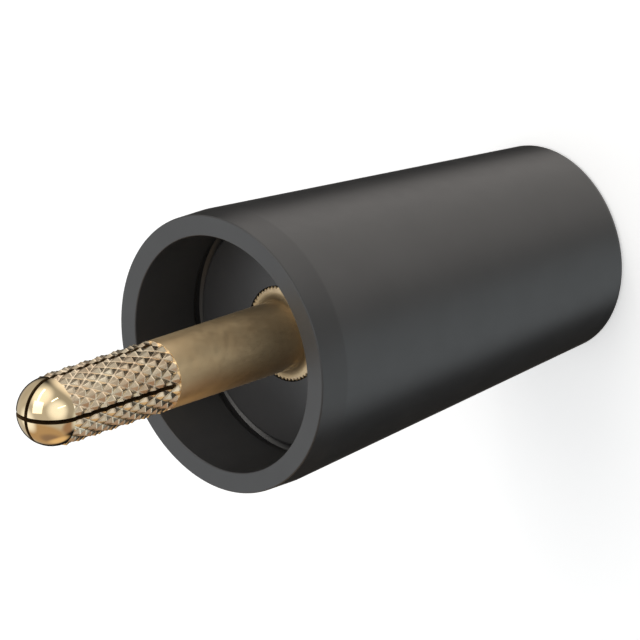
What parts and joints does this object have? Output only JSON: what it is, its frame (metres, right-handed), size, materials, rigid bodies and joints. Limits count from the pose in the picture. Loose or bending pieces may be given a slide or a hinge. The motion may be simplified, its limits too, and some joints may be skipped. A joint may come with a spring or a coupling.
{
  "type": "banana plug adapter",
  "caption": "Tapered test adapter: a knurled, cross-slotted spring pin stands in a deep protective cup, with a shrouded round socket at the other end.",
  "frame": {"origin": "centre of the flat end face round the socket, on which the adapter stands", "axes": "+Z along the axis of revolution, from the socket end to the tip of the pin; +X and +Y lie in the planes of the two crossed saw cuts"},
  "size_m": [0.016, 0.016, 0.0416],
  "materials": {
    "housing_plastic": "moulded black plastic with a fine satin surface",
    "insert_plastic": "moulded black plastic, satin",
    "contact_metal": "turned brass with a pale champagne plating, satin on the shaft and bright on the nose"
  },
  "bodies": {
    "root": {"housing": "housing_plastic", "insert": "insert_plastic", "contact": "contact_metal"}
  },
  "joints": []
}
